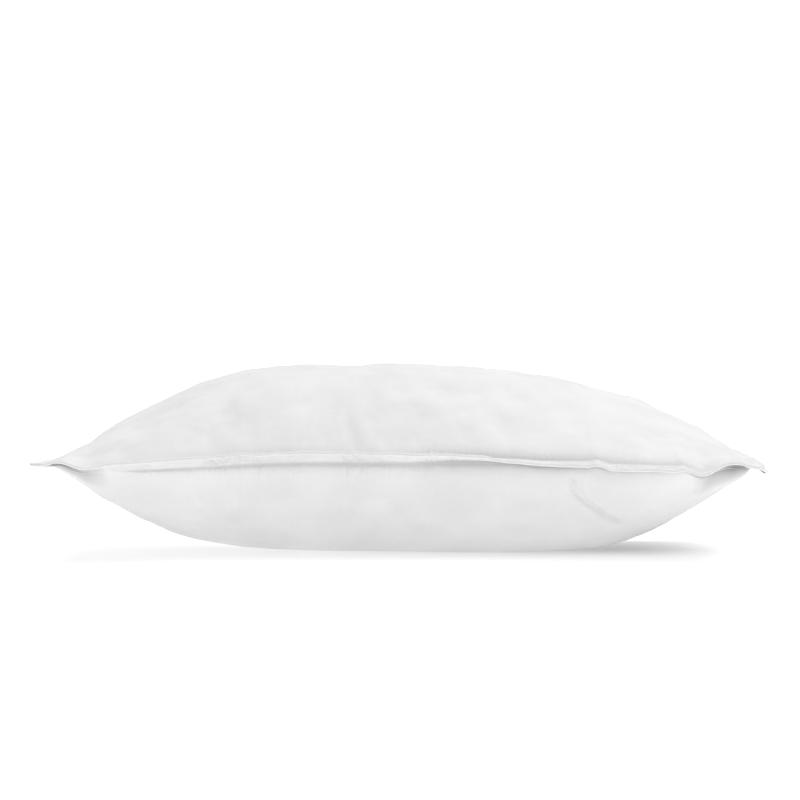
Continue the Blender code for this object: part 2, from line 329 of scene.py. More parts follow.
def tucked(u, v):
    """How far the lower panel is carried outwards and up by its billow under the flange."""
    shift = np.zeros(u.shape + (3,))
    outwards = (0, -1), (1, 0), (0, 1), (-1, 0)
    for (distance, along, _), outward in zip(edge_distances(u, v), outwards):
        amount = eased(along_to_place(along), LOWER_TUCK)
        share = rise_and_fall(distance, TUCK_PEAK)
        shift[..., :2] += np.array(outward) * (amount * share)[..., None]
        shift[..., 2] += TUCK_RISE * amount * share**2
    return shift


FADES_IN, FADES_OUT = 0.16, (0.80, 1.10)  # shares of a crease's length
RIDGE_SHARE, RIDGE_PLACE = 0.3, 1.8  # of the ridge beside it: height, and place in widths


def crease(x, y, start, end, width, depth, bow=0.0):
    """A soft fold: a valley with a ridge beside it, along a bowed line that fades out at both ends."""
    start, end = np.array(start), np.array(end)
    length = np.linalg.norm(end - start)
    along_x, along_y = (end - start) / length
    along = (x - start[0]) * along_x + (y - start[1]) * along_y
    aside = (y - start[1]) * along_x - (x - start[0]) * along_y
    aside = aside - bow * 4 * along / length * (1 - along / length)
    fade = smooth_step(along, 0, FADES_IN * length)
    fade = fade * (1 - smooth_step(along, FADES_OUT[0] * length, FADES_OUT[1] * length))
    bent = aside / width
    ridge = np.exp(-((bent / RIDGE_PLACE - 1.0) ** 2)) * RIDGE_SHARE
    return depth * fade * (ridge - np.exp(-(bent**2)))


# Folds that stay in the cloth: whether in the upper panel, from, to (metres along and across), width,
# depth, and how far the fold bows where it does
CREASES = (
    (False, (0.15, -0.2392), (0.2055, -0.189), 0.0021, 0.0032, 0.0006),
    (False, (0.205, -0.235), (0.236, -0.196), 0.003, 0.0008),
    (False, (-0.19, -0.215), (-0.15, -0.15), 0.0045, 0.0008),
    (True, (-0.175, -0.19), (-0.15, -0.13), 0.006, 0.0009),
    (True, (-0.03, -0.165), (-0.012, -0.095), 0.008, 0.0006),
    (True, (-0.275, -0.215), (-0.24, -0.18), 0.0035, 0.0009),
    (True, (-0.095, -0.228), (-0.085, -0.185), 0.0045, 0.0007),
    (True, (0.27, -0.205), (0.225, -0.165), 0.004, 0.0008),
    (True, (0.235, 0.205), (0.19, 0.15), 0.005, 0.0012),
    (True, (-0.24, 0.2), (-0.195, 0.14), 0.006, 0.0012),
    (False, (-0.24, 0.215), (-0.205, 0.16), 0.0045, 0.0012),
    (False, (0.285, 0.06), (0.235, 0.03), 0.005, 0.0012),
    (True, (0.288, -0.03), (0.235, -0.01), 0.0055, 0.0011),
    (True, (-0.29, 0.045), (-0.235, 0.03), 0.006, 0.0012),
    (False, (-0.288, -0.04), (-0.245, -0.02), 0.005, 0.0012),
)


def relief(u, v, upper):
    """Height of everything the plain surface lacks: gathers, filling lumps, folds and crinkles."""
    x, y = u * PATTERN_HALF[0], v * PATTERN_HALF[1]
    side = 0 if upper else 1
    to_edge = np.minimum(PATTERN_HALF[0] - np.abs(x), PATTERN_HALF[1] - np.abs(y))
    inside = smooth_step(to_edge, 0.0, LUMPS_FROM)
    height = gathered(u, v, upper) + inside * LUMP_HEIGHT * LUMPS[side](x, y)
    height += smooth_step(to_edge, 0.0, CRINKLES_FROM) * CRINKLE_HEIGHT * CRINKLES[side](x, y)
    for on_upper, *fold in CREASES:
        if on_upper == upper:
            height += smooth_step(to_edge, 0.0, CREASES_FROM) * crease(x, y, *fold)
    return height


# ---- cloth simulation

SIM_ALONG, SIM_ACROSS = 92, 70
SIM_FRAMES = 30
SIM_PRESSURE = 3.0
MIDDLE_SLACK = 0.006  # share by which the cloth is larger than its place
SEAM_SLACK = 0.060  # and beside the seam, where it is gathered
SLACK_REACH = 0.045
SIM_ROUGHNESS = 0.0004  # unevenness that the wrinkles start from
LIES_FLAT = 0.0012  # cloth that starts this low lies on the floor
FURTHEST = 0.012  # most that the simulation may move a point
BLUR_CELLS = 6  # wrinkles are what this much averaging takes away
SIM_SHARE = 0.55  # and this share of them is kept
CLOTH_SETTINGS = {
    "quality": 6, "mass": 0.15, "tension_stiffness": 20, "compression_stiffness": 20,
    "shear_stiffness": 6, "bending_stiffness": 0.15, "tension_damping": 4, "compression_damping": 4,
    "shear_damping": 4, "air_damping": 2, "vertex_group_mass": "held", "vertex_group_shrink": "gathers",
    "shrink_min": -MIDDLE_SLACK, "shrink_max": -SEAM_SLACK, "use_pressure": True,
    "uniform_pressure_force": SIM_PRESSURE,
}


def linked(name, data):
    """A new object in the scene."""
    thing = bpy.data.objects.new(name, data)
    bpy.context.scene.collection.objects.link(thing)
    return thing


def quads(ids):
    """The faces of a grid of points, given their indices."""
    corners = [ids[:-1, :-1], ids[1:, :-1], ids[1:, 1:], ids[:-1, 1:]]
    return np.stack(corners, axis=-1).reshape(-1, 4)


def cover_points():
    """Both panels' points, how far each is from the seam, and each panel's grid of indices.

    The two panels share their points on the seam.
    """
    u, v = np.meshgrid(
        np.linspace(-1, 1, SIM_ALONG + 1), np.linspace(-1, 1, SIM_ACROSS + 1), indexing="ij"
    )
    to_seam = np.minimum((1 - np.abs(u)) * PATTERN_HALF[0], (1 - np.abs(v)) * PATTERN_HALF[1]).ravel()
    inside = to_seam > 0
    upper_ids = np.arange(u.size).reshape(u.shape)
    lower_ids = np.where(inside, u.size - 1 + np.cumsum(inside), upper_ids.ravel()).reshape(u.shape)
    upper, lower = (smooth_surface(u, v, on_top, 0.0).reshape(-1, 3) for on_top in (True, False))
    points = np.concatenate([upper, lower[inside]])
    return points, np.concatenate([to_seam, to_seam[inside]]), upper_ids, lower_ids


def weigh(cover, name, weights):
    group = cover.vertex_groups.new(name=name)
    for point in np.flatnonzero(weights).tolist():
        group.add([point], float(weights[point]), "REPLACE")


def run_cloth(cover):
    """Runs the simulation, and returns where it takes the points."""
    cloth = cover.modifiers.new("Cloth", "CLOTH")
    for setting, value in CLOTH_SETTINGS.items():
        setattr(cloth.settings, setting, value)
    cloth.settings.effector_weights.gravity = 0
    cloth.collision_settings.use_collision = False
    cloth.point_cache.frame_start, cloth.point_cache.frame_end = 1, SIM_FRAMES
    for step in range(1, SIM_FRAMES + 1):
        bpy.context.scene.frame_set(step)
    evaluated = cover.evaluated_get(bpy.context.evaluated_depsgraph_get())
    points = np.empty(len(evaluated.data.vertices) * 3, np.float32)
    evaluated.data.vertices.foreach_get("co", points)
    return points.reshape(-1, 3)


def simulate_cover():
    """Fills the gathered cover while its seam is held, and returns how far each panel moved.

    The base stays on the floor.
    """
    points, to_seam, upper_ids, lower_ids = cover_points()
    free = (to_seam > 0) & (points[:, 2] > LIES_FLAT)
    start = points.copy()
    start[free] += np.random.default_rng(7).normal(0, SIM_ROUGHNESS, (free.sum(), 3))
    mesh = bpy.data.meshes.new("cover_sim")
    faces = np.concatenate([quads(upper_ids), quads(lower_ids)[:, ::-1]])
    mesh.from_pydata(start.tolist(), [], faces.tolist())
    cover = linked("cover_sim", mesh)
    weigh(cover, "held", ~free)
    weigh(cover, "gathers", np.exp(-to_seam / SLACK_REACH))
    moved = run_cloth(cover) - points
    bpy.data.objects.remove(cover)
    bpy.data.meshes.remove(mesh)
    bpy.context.scene.frame_set(1)
    return moved[upper_ids], moved[lower_ids]


def blurred(grid, cells):
    """The grid averaged over a square of that many cells each way, with its edges held at zero."""
    padded = np.pad(grid, ((cells, cells), (cells, cells), (0, 0)))
    total = np.zeros_like(grid)
    rows, columns = grid.shape[:2]
    for i in range(2 * cells + 1):
        for j in range(2 * cells + 1):
            total += padded[i:i + rows, j:j + columns]
    return total / (2 * cells + 1) ** 2


def wrinkles_of(moved):
    """What the simulation adds to the shape: its wrinkles, without the swelling of the whole panel."""
    fine = (moved - blurred(moved, BLUR_CELLS)) * SIM_SHARE
    length = np.linalg.norm(fine, axis=-1, keepdims=True)
    return fine * FURTHEST * np.tanh(length / FURTHEST) / np.maximum(length, 1e-9)


def mirrored_out(grid):
    """The grid with one more row all round, so that smoothing leaves its zero edges at zero."""
    wider = np.pad(grid, ((1, 1), (1, 1), (0, 0)))
    wider[0], wider[-1] = -wider[2], -wider[-3]
    wider[:, 0], wider[:, -1] = -wider[:, 2], -wider[:, -3]
    return wider


def spline_shares(t):
    """Shares of four neighbouring points, a part t of the way from the second to the third."""
    return (
        (1 - t) ** 3 / 6, (3 * t**3 - 6 * t**2 + 4) / 6, (-3 * t**3 + 3 * t**2 + 3 * t + 1) / 6, t**3 / 6
    )


def sampled(wider, u, v):
    """Smooth (cubic B-spline) reading of a grid over the pattern, padded by mirrored_out."""
    sizes = wider.shape[0] - 2, wider.shape[1] - 2
    at = [(place + 1) / 2 * (size - 1) for place, size in zip((u, v), sizes)]
    row, column = (np.clip(np.floor(a).astype(int), 0, size - 2) for a, size in zip(at, sizes))
    total = np.zeros(u.shape + (3,))
    for i, row_share in enumerate(spline_shares(at[0] - row)):
        for j, column_share in enumerate(spline_shares(at[1] - column)):
            total += (row_share * column_share)[..., None] * wider[row + i, column + j]
    return total


# ---- panel surfaces

NORMAL_STEP = 0.004
FLOOR_CALM = 0.012  # the cloth is flatter this close to the floor


def unit(vectors):
    """The same directions, each of length 1."""
    return vectors / np.maximum(np.linalg.norm(vectors, axis=-1, keepdims=True), 1e-12)


def outward_normals(u, v, upper):
    sign = 1 if upper else -1
    after_u, before_u = np.clip(u + NORMAL_STEP, -1, 1), np.clip(u - NORMAL_STEP, -1, 1)
    after_v, before_v = np.clip(v + NORMAL_STEP, -1, 1), np.clip(v - NORMAL_STEP, -1, 1)
    across_u = smooth_surface(after_u, v, upper, FACE) - smooth_surface(before_u, v, upper, FACE)
    across_v = smooth_surface(u, after_v, upper, FACE) - smooth_surface(u, before_v, upper, FACE)
    return unit(np.cross(across_u, across_v)) * sign


def panel_surface(u, v, upper, moved, depth=0.0):
    """Points of a panel, that deep under its outer face."""
    normals = outward_normals(u, v, upper)
    surface = smooth_surface(u, v, upper, FACE)
    height = relief(u, v, upper)
    shift = sampled(moved, u, v)
    if not upper:
        lifted = smooth_step(surface[..., 2], 0.0, FLOOR_CALM)
        height = height * lifted
        shift = (shift + tucked(u, v)) * lifted[..., None]
    surface = surface + shift + normals * (height - depth)[..., None]
    if not upper:
        surface[..., 2] = np.maximum(surface[..., 2], depth)
    return surface


# ---- stations round the seam

def level_outward(s, side):
    """Level direction square to the seam line on that side."""
    u, v = on_edge(s)
    if side % 2 == 0:
        v = np.full_like(u, -1.0 if side == 0 else 1.0)
        direction = np.stack([-2 * BOW[1] * u, v * TIP_HALF[0]], axis=-1)
    else:
        u = np.full_like(v, 1.0 if side == 1 else -1.0)
        direction = np.stack([u * TIP_HALF[1], -2 * BOW[0] * v], axis=-1)
    return unit(direction)


def seam_stations(step):
    """Places round the seam, the outward direction at each, the index of each in a ring of single
    places, where the fan of directions at a tip is one place, and the index there of each tip."""
    places, directions, ring_of, starts, single = [], [], [], [], 0
    for side in range(4):
        count = int(round(SIDE_LENGTHS[side] / step))
        run = side + np.arange(count) / count
        before = level_outward(np.array([float(side) if side else 4.0]), (side - 1) % 4)[0]
        after = level_outward(np.array([side + 0.0]), side)[0]
        turn = np.linspace(0, 1, CORNER_STEPS + 1)[:, None]
        fan = unit(before * (1 - turn) + after * turn)
        around_tip = side + np.linspace(-CORNER_SPREAD, CORNER_SPREAD, CORNER_STEPS + 1)
        places += [np.mod(around_tip, 4), run[1:]]
        directions += [fan, level_outward(run[1:], side)]
        ring_of += [np.full(CORNER_STEPS + 1, single), single + np.arange(1, count)]
        starts.append(single)
        single += count
    return np.concatenate(places), np.concatenate(directions), np.concatenate(ring_of), starts


class Flange:
    """The seam line and the tilted strip outside it, where every piece of the seam lies."""

    def __init__(self, places, directions):
        self.s = places
        self.along = distance_along(places)
        self.u, self.v = on_edge(places)
        x, y = plan(self.u, self.v)
        height = cad_seam_height(self.u, self.v) + seam_shift(places)
        self.line = np.stack([x, y, height], axis=-1)
        tilt = np.radians(eased(places, FLANGE_TILT))[:, None]
        level = np.concatenate([directions, np.zeros((len(places), 1))], axis=1)
        self.out = level * np.cos(tilt) + Z * np.sin(tilt)
        self.up = -level * np.sin(tilt) + Z * np.cos(tilt)
        self.level = level

    def point(self, out, up):
        """Points this far outside the seam line and above the flange's middle plane."""
        loose = SWAY_HEIGHT * np.minimum(strength(self.along), MOST_SWAY)
        sway = loose * SWAY(self.along) * (out / BEAD_CENTRE) ** 2
        sway = sway + RUFFLE * loose * PUCKERS(self.along) * out / BEAD_CENTRE
        return self.line + self.out * np.reshape(out, (-1, 1)) + self.up * np.reshape(up + sway, (-1, 1))


FINE = seam_stations(FINE_STEP)
FLANGE = Flange(FINE[0], FINE[1])
RING_OF, TIP_STARTS = FINE[2], FINE[3]

# Rings of the flange, over its outer face, round its cut edge and back along its inside: distance out,
# height over the inside in thicknesses, and share of the puff
FLANGE_RINGS = (
    (0.0007, 1, 0.25), (0.0016, 1, 0), (0.0024, 1, 0.6), (0.0032, 1, 0.95), (0.004, 1, 1),
    (0.0048, 1, 0.85), (0.0055, 1, 0.45), (0.0062, 1, 0), (0.0069, 1, 0.5), (0.0077, 1, 0.8),
    (0.0085, 1, 0.5), (0.0091, 0.98, 0.15), (0.0095, 0.86, 0), (0.00965, 0.66, 0), (0.00952, 0.34, 0),
    (0.0085, 0, 0), (0.0004, 0, 0),
)
EVEN_PUFF, GATHERED_PUFF, PUCKERED_PUFF = 0.5, 0.75, 0.40  # what makes up its height
PUFF_SLANT = 0.9


def puff(out, share, upper):
    """How far the cloth stands out between the rows of stitching."""
    along = FLANGE.along + (0 if upper else LOWER_OFFSET) + out * PUFF_SLANT * LEAN(FLANGE.along)
    uneven = GATHERED_PUFF * GATHERS(along) + PUCKERED_PUFF * PUCKERS(along)
    return PUFF_HEIGHT * share * (EVEN_PUFF + strength(FLANGE.along) * uneven)


# ---- mesh making

class Parts:
    """Gathers points, cloth coordinates and faces, and makes one mesh of them."""

    def __init__(self):
        self.points, self.cloth, self.faces, self.count = [], [], [], 0

    def add(self, points, cloth):
        """Adds points, and returns their indices in the same arrangement."""
        shape = points.shape[:-1]
        self.points.append(points.reshape(-1, 3))
        self.cloth.append(cloth.reshape(-1, 2))
        size = int(np.prod(shape))
        self.count += size
        return np.arange(self.count - size, self.count).reshape(shape)

    def strip(self, outer, inner, closed=True):
        """Faces between two lines of points. Where a line stands still, a face is a triangle."""
        if closed:
            outer, inner = np.append(outer, outer[0]), np.append(inner, inner[0])
        for a, b, c, d in zip(outer[:-1], outer[1:], inner[1:], inner[:-1]):
            face = tuple(dict.fromkeys((int(a), int(b), int(c), int(d))))
            if len(face) > 2:
                self.faces.append(face)

    def grid(self, ids):
        self.faces += [tuple(quad) for quad in quads(ids).tolist()]

    def zip(self, fine, coarse):
        """Triangles between two lines that run side by side from one tip to the next."""
        cloth = np.concatenate(self.cloth)
        fine_at, coarse_at = (np.linalg.norm(cloth[ids] - cloth[ids[0]], axis=1) for ids in (fine, coarse))
        fine_at, coarse_at = fine_at / fine_at[-1], coarse_at / coarse_at[-1]
        i, j, last_i, last_j = 0, 0, len(fine) - 1, len(coarse) - 1
        while i < last_i or j < last_j:
            if j == last_j or (i < last_i and fine_at[i + 1] <= coarse_at[j + 1]):
                self.faces.append((int(fine[i]), int(fine[i + 1]), int(coarse[j])))
                i += 1
            else:
                self.faces.append((int(fine[i]), int(coarse[j + 1]), int(coarse[j])))
                j += 1

    def make(self, name, material, flipped=False):
        faces = [face[::-1] for face in self.faces] if flipped else self.faces
        mesh = bpy.data.meshes.new(name)
        mesh.from_pydata(np.concatenate(self.points).tolist(), [], faces)
        corners = np.empty(len(mesh.loops), np.int32)
        mesh.loops.foreach_get("vertex_index", corners)
        layer = mesh.uv_layers.new(name="metres")
        layer.data.foreach_set("uv", np.concatenate(self.cloth)[corners].astype(np.float32).ravel())
        mesh.shade_smooth()
        mesh.materials.append(material)
        return linked(name, mesh)


def cloth_place(u, v):
    return np.stack([u * PATTERN_HALF[0], v * PATTERN_HALF[1]], axis=-1)


def grid_lines(half, inset, first_step, last_step):
    """Pattern coordinates of grid lines from edge to edge, with one step near the first edge."""
    lines = [0.0]
    length = 2 * (half - inset)
    while lines[-1] < length:
        change = smooth_step(lines[-1], FRONT_REACH / 2, FRONT_REACH)
        lines.append(lines[-1] + first_step + (last_step - first_step) * float(change))
    return (np.array(lines) / lines[-1] * 2 - 1) * (1 - inset / half)


def rectangle(inset, step, front_step=None, back_step=None):
    """Pattern coordinates of a grid that ends this far inside the seam line."""
    across = front_step or step, back_step or step
    return np.meshgrid(
        grid_lines(PATTERN_HALF[0], inset, step, step), grid_lines(PATTERN_HALF[1], inset, *across),
        indexing="ij",
    )


def side_lines(ids):
    """The edges of a grid, in the order and direction of the seam's sides."""
    return ids[:, 0], ids[-1, :], ids[::-1, -1], ids[0, ::-1]


def side_runs(ring):
    """A ring of single places cut at the four tips."""
    starts = TIP_STARTS + [len(ring)]
    joined = np.append(ring, ring[0])
    return [joined[a:b + 1] for a, b in zip(starts, starts[1:])]


def single_stations():
    """One station for each single place, with the middle direction at a tip."""
    count = RING_OF.max() + 1
    directions = np.zeros((count, 2))
    np.add.at(directions, RING_OF, FINE[1])
    places = np.zeros(count)
    places[RING_OF] = FINE[0]
    places[TIP_STARTS] = np.arange(4)
    return Flange(places, unit(directions))


SINGLE = single_stations()


def seam_ring(parts, inset, upper, moved, depth=0.0):
    """A ring of panel points this far inside the seam line, easing into the tilt of the flange."""
    sign = 1 if upper else -1
    u, v = SINGLE.u * (1 - inset / PATTERN_HALF[0]), SINGLE.v * (1 - inset / PATTERN_HALF[1])
    points = panel_surface(u, v, upper, moved, depth)
    fade = max(1 - inset / BAND_REACH, 0) ** 2
    points += sign * fade * (FACE - depth) * (SINGLE.up - Z)
    return parts.add(points, cloth_place(u, v))


def flange_rings(parts, upper):
    cloth = cloth_place(FLANGE.u, FLANGE.v)
    sign = 1 if upper else -1
    rings = []
    for out, rise, share in FLANGE_RINGS:
        up = PANEL_INSIDE + PANEL_THICKNESS * rise + puff(out, share, upper)
        rings.append(parts.add(FLANGE.point(out, sign * up), cloth + FLANGE.level[:, :2] * out))
    return rings


def add_inner_face(parts, ring, upper, moved):
    """The face of a panel towards the filling, inside that ring."""
    u, v = rectangle(INNER_LAYER_INSET, INNER_LAYER_STEP)
    ids = parts.add(panel_surface(u, v, upper, moved, PANEL_THICKNESS), cloth_place(u, v))
    parts.grid(ids[:, ::-1])
    for run, line in zip(side_runs(ring), side_lines(ids)):
        first = len(parts.faces)
        parts.zip(run, line)
        parts.faces[first:] = [face[::-1] for face in parts.faces[first:]]


def add_panel(name, upper, moved, material):
    """A panel with its flange, as a closed sheet of cloth."""
    parts = Parts()
    u, v = rectangle(GRID_INSET, GRID_STEP, FRONT_STEP, BACK_STEP)
    ids = parts.add(panel_surface(u, v, upper, moved), cloth_place(u, v))
    parts.grid(ids)
    band = [seam_ring(parts, inset, upper, moved) for inset in reversed(BAND)]
    for run, line in zip(side_runs(band[0]), side_lines(ids)):
        parts.zip(run, line)
    rings = [ring[RING_OF] for ring in band] + flange_rings(parts, upper)
    inner = seam_ring(parts, INNER_LAYER_INSET / 2, upper, moved, PANEL_THICKNESS)
    rings.append(inner[RING_OF])
    for before, after in zip(rings, rings[1:]):
        parts.strip(after, before)
    add_inner_face(parts, inner, upper, moved)
    return parts.make(name, material, flipped=not upper)


# ---- piping and stitching

BUTT_PLACE = 2.5  # where the piping's two ends meet, behind
SLEEVE_ARC, BORE_ARC = 14, 8  # faces round the sleeve's outside and inside
TAIL_END = 0.0008  # the sleeve's two tails end this far from the seam line
TAIL_GAP = 0.000075  # half of the gap between them
SLEEVE_LEAN = 0.0012  # its wrinkles run on the bias
SLEEVE_GATHER, SLEEVE_PUCKER = 0.00007, 0.00004
CORD_SIDES = 12
CORD_PLY_TWIST = 0.0065
CORD_VALLEY, CORD_RIDGE = 0.80, 0.19  # shares of its radius: between the plies, and what they add
STITCH = 0.0030
STITCH_THREAD = 0.00021
SLEEVE_SIDE, THREAD_SIDE = 0.0007, 0.0002  # cloth between neighbouring points of a profile
STITCH_TWIST = 2.2  # turn of a stitch's sides from end to end, in radians


def open_order(flange):
    """Indices of the stations from just after the butt joint, round to just before it."""
    start = int(np.argmin(np.abs(flange.s - BUTT_PLACE)))
    return np.roll(np.arange(len(flange.s)), -start)


def carried_profile(name, profile_at, sides, material):
    """Sweeps a profile of (out, up) points round the seam from the butt joint to itself."""
    order = open_order(FLANGE)
    parts = Parts()
    lines = []
    for side in range(sides):
        out, up = profile_at(side)
        points = FLANGE.point(out, up)[order]
        cloth = np.stack([FLANGE.along[order], np.full(len(order), side * SLEEVE_SIDE)], axis=-1)
        lines.append(parts.add(points, cloth))
    for here, there in zip(lines, lines[1:] + lines[:1]):
        parts.strip(here, there, closed=False)
    parts.faces.append(tuple(int(line[0]) for line in lines))
    parts.faces.append(tuple(int(line[-1]) for line in reversed(lines)))
    return parts.make(name, material)


def sleeve_profile():
    """Turn and radius round the bead's centre, or out and up in the tails, for each profile point."""
    tail = SLEEVE_THICKNESS + TAIL_GAP
    lip = math.pi - math.asin(tail / BEAD_RADIUS)
    bore = BEAD_RADIUS - SLEEVE_THICKNESS
    inner_lip = math.pi - math.asin(TAIL_GAP / bore)
    wrap = [("turn", lip * (2 * step / SLEEVE_ARC - 1), BEAD_RADIUS) for step in range(SLEEVE_ARC + 1)]
    inside = [("turn", inner_lip * (1 - 2 * step / BORE_ARC), bore) for step in range(BORE_ARC + 1)]
    upper_tail = [("tail", TAIL_END, tail), ("tail", TAIL_END, TAIL_GAP)]
    lower_tail = [("tail", TAIL_END, -TAIL_GAP), ("tail", TAIL_END, -tail)]
    return wrap + upper_tail + inside + lower_tail


def add_sleeve(material):
    profile = sleeve_profile()

    def at(side):
        kind, first, second = profile[side]
        if kind == "tail":
            return np.full(len(FLANGE.s), first), np.full(len(FLANGE.s), second)
        radius = np.full(len(FLANGE.s), second)
        if second == BEAD_RADIUS:
            bias = FLANGE.along + SLEEVE_LEAN * first
            radius = radius + SLEEVE_GATHER * strength(FLANGE.along) * GATHERS(bias)
            radius = radius + SLEEVE_PUCKER * PUCKERS(bias)
        return BEAD_CENTRE + radius * math.cos(first), radius * math.sin(first)

    return carried_profile("bias_sleeve", at, len(profile), material)


def add_cord(material):
    """Three plies twisted together."""
    def at(side):
        turn = 2 * math.pi * side / CORD_SIDES
        ply = np.abs(np.sin(1.5 * (turn - 2 * math.pi * FLANGE.along / CORD_PLY_TWIST)))
        radius = CORD_RADIUS * (CORD_VALLEY + CORD_RIDGE * ply)
        return BEAD_CENTRE + radius * math.cos(turn), radius * math.sin(turn)

    return carried_profile("cotton_cord", at, CORD_SIDES, material)


# Shape of one stitch: share of its length, height of its middle over the cloth in thread radii,
# and share of its thickness
STITCH_SHAPE = (
    (0.03, -1.6, 0.45), (0.09, -0.3, 0.85), (0.22, 0.75, 1), (0.5, 0.95, 1), (0.78, 0.75, 1),
    (0.91, -0.3, 0.85), (0.97, -1.6, 0.45),
)
STITCH_SIDES = 6


def stitch_places():
    """Places along the seam of the ends of all stitches, so that the needle falls on each tip."""
    places = []
    for side in range(4):
        count = int(round(SIDE_LENGTHS[side] / STITCH))
        places.append(side + np.arange(count) / count)
    return np.append(np.concatenate(places), 4.0)


def row_points(distance, up, share_of_way):
    """Points on a stitch row, part of the way from one needle hole to the next."""
    ends = stitch_places()
    here, there = ends[:-1], ends[1:]
    middle = here + (there - here) * share_of_way
    side = np.clip(np.floor(here + 1e-9).astype(int), 0, 3)
    directions = np.zeros((len(here), 2))
    for k in range(4):
        chosen = side == k
        directions[chosen] = level_outward(middle[chosen], k)
    tip_length = distance / SIDE_LENGTHS[side]
    stretched = (middle - side) * (1 + 2 * tip_length) - tip_length
    inside = side + np.clip(stretched, 0, 1)
    beyond = (stretched - np.clip(stretched, 0, 1)) * SIDE_LENGTHS[side]
    flange = Flange(np.clip(inside, 0, 4), directions)
    tangent = np.stack([-directions[:, 1], directions[:, 0], np.zeros(len(here))], axis=-1)
    points = flange.point(np.full(len(here), distance), np.full(len(here), up))
    return points + tangent * beyond[:, None], flange


def stitch_loops(parts, distance, sign):
    """Loops of points round all the stitches of a row, one for each place of STITCH_SHAPE."""
    loops = []
    for share, height, thickness in STITCH_SHAPE:
        centre, flange = row_points(distance, sign * (FACE + height * STITCH_THREAD), share)
        loop = []
        for side in range(STITCH_SIDES):
            turn = 2 * math.pi * side / STITCH_SIDES + STITCH_TWIST * share
            around = flange.out * math.cos(turn) + flange.up * math.sin(turn)
            cloth = np.stack([flange.along, np.full(len(centre), side * THREAD_SIDE)], axis=-1)
            loop.append(parts.add(centre + around * (STITCH_THREAD * thickness), cloth))
        loops.append(loop)
    return loops


def add_stitches(name, distance, upper, material):
    parts = Parts()
    loops = stitch_loops(parts, distance, 1 if upper else -1)
    faces = []
    for here, there in zip(loops, loops[1:]):
        for side in range(STITCH_SIDES):
            after = (side + 1) % STITCH_SIDES
            faces.append((here[side], here[after], there[after], there[side]))
    faces += [loops[0][::-1], loops[-1]]
    for face in faces:
        parts.faces += [tuple(corners) for corners in np.stack(face, axis=-1).tolist()]
    return parts.make(name, material, flipped=True)


# ---- filling

FILLING_REACH = 0.955  # share of the pattern that it fills
FILLING_ROUNDING = 0.18  # and how much less at a tip
FILLING_DEPTH = 0.0032  # under the panels
SHALLOWEST, TUFT_SHARE = 0.55, 0.75  # shares of that depth: the least, and what tufts vary
FILLING_STEP = 0.0042


def add_filling(moved_upper, moved_lower, material):
    """Down and feather: a closed lumpy body that keeps clear of both panels."""
    parts = Parts()
    u, v = rectangle(0.0, FILLING_STEP)
    inner_u = u * FILLING_REACH * (1 - FILLING_ROUNDING * v**2)
    inner_v = v * FILLING_REACH * (1 - FILLING_ROUNDING * u**2)
    x, y = inner_u * PATTERN_HALF[0], inner_v * PATTERN_HALF[1]
    tufts = 0.5 + 0.5 * np.tanh(CRINKLES[0](x, y) + 0.8 * LUMPS[1](x, y))
    depth = PANEL_THICKNESS + FILLING_DEPTH * (SHALLOWEST + TUFT_SHARE * tufts)
    top, base = (
        parts.add(panel_surface(inner_u, inner_v, upper, moved, depth), np.stack([x, y], axis=-1))
        for upper, moved in ((True, moved_upper), (False, moved_lower))
    )
    parts.grid(top)
    parts.grid(base[:, ::-1])
    for above, below in zip(side_lines(top), side_lines(base)):
        parts.strip(below, above, closed=False)
    return parts.make("down_filling", material)


# ---- materials

WEAVE_PITCH = 0.00042
TICKING_DARK, TICKING_LIGHT = (0.795, 0.795, 0.797), (0.847, 0.847, 0.847)
BINDING_DARK, BINDING_LIGHT = (0.860, 0.860, 0.860), (0.885, 0.885, 0.883)
THREAD_DARK, THREAD_LIGHT = (0.84, 0.84, 0.84), (0.92, 0.92, 0.92)
CORD_DARK, CORD_LIGHT = (0.74, 0.72, 0.66), (0.87, 0.85, 0.80)
DOWN_DARK, DOWN_LIGHT = (0.80, 0.78, 0.72), (0.93, 0.92, 0.89)
BEAD_SHADE_REACH, BEAD_SHADE_LEFT = 0.010, 0.66  # painted shade: the piping's colour is darkened where cloth is this near
BEAD_SHADE = 0.25, 0.80  # share of open sky where that is full, and where it starts
HOLLOW_REACH, HOLLOW_PAINTED_SHADE = 0.025, 0.42  # painted shade: the ticking's colour is darkened where it faces itself this near
HOLLOW_SHADE = 0.30, 0.62  # share of open sky where that painted shade is full, and where it starts
EAR_ALONG, EAR_ACROSS = (0.262, 0.300), (0.204, 0.238)  # where the painted shade under an ear starts, and where it is darkest
# share of the colour taken away by the painted shade under an ear
EAR_PAINTED_SHADE = 0.82
UNDERSIDE = -0.05, 0.35  # upward part of the normal: painted shade in full, and none
FLOOR_DARK, FLOOR_LIGHT = (0.655, 0.655, 0.655), (0.665, 0.665, 0.665)
GLOW_STEP = -0.08, 0.04  # Y where the floor's painted glow starts to be brighter, and is brightest
FLOOR_GLOW, BACK_GLOW = 0.54, 0.68  # painted light: the floor glows though it is no lamp, brighter behind the pillow
PAINTED_SHADOW_DEPTH = 0.31  # painted shadow: share of the glow that is missing under the pillow, deepest under its right-hand end
# Where the painted shadow lies: axis, from, to (metres), and share of that depth at each
PAINTED_SHADOW_SPANS = (
    ("X", -0.30, 0.30, 0.0, 1.0), ("X", 0.22, 0.38, 1.0, 0.0),
    ("Y", -0.19, -0.07, 0.0, 1.0), ("Y", 0.0, 0.03, 1.0, 0.0),
)


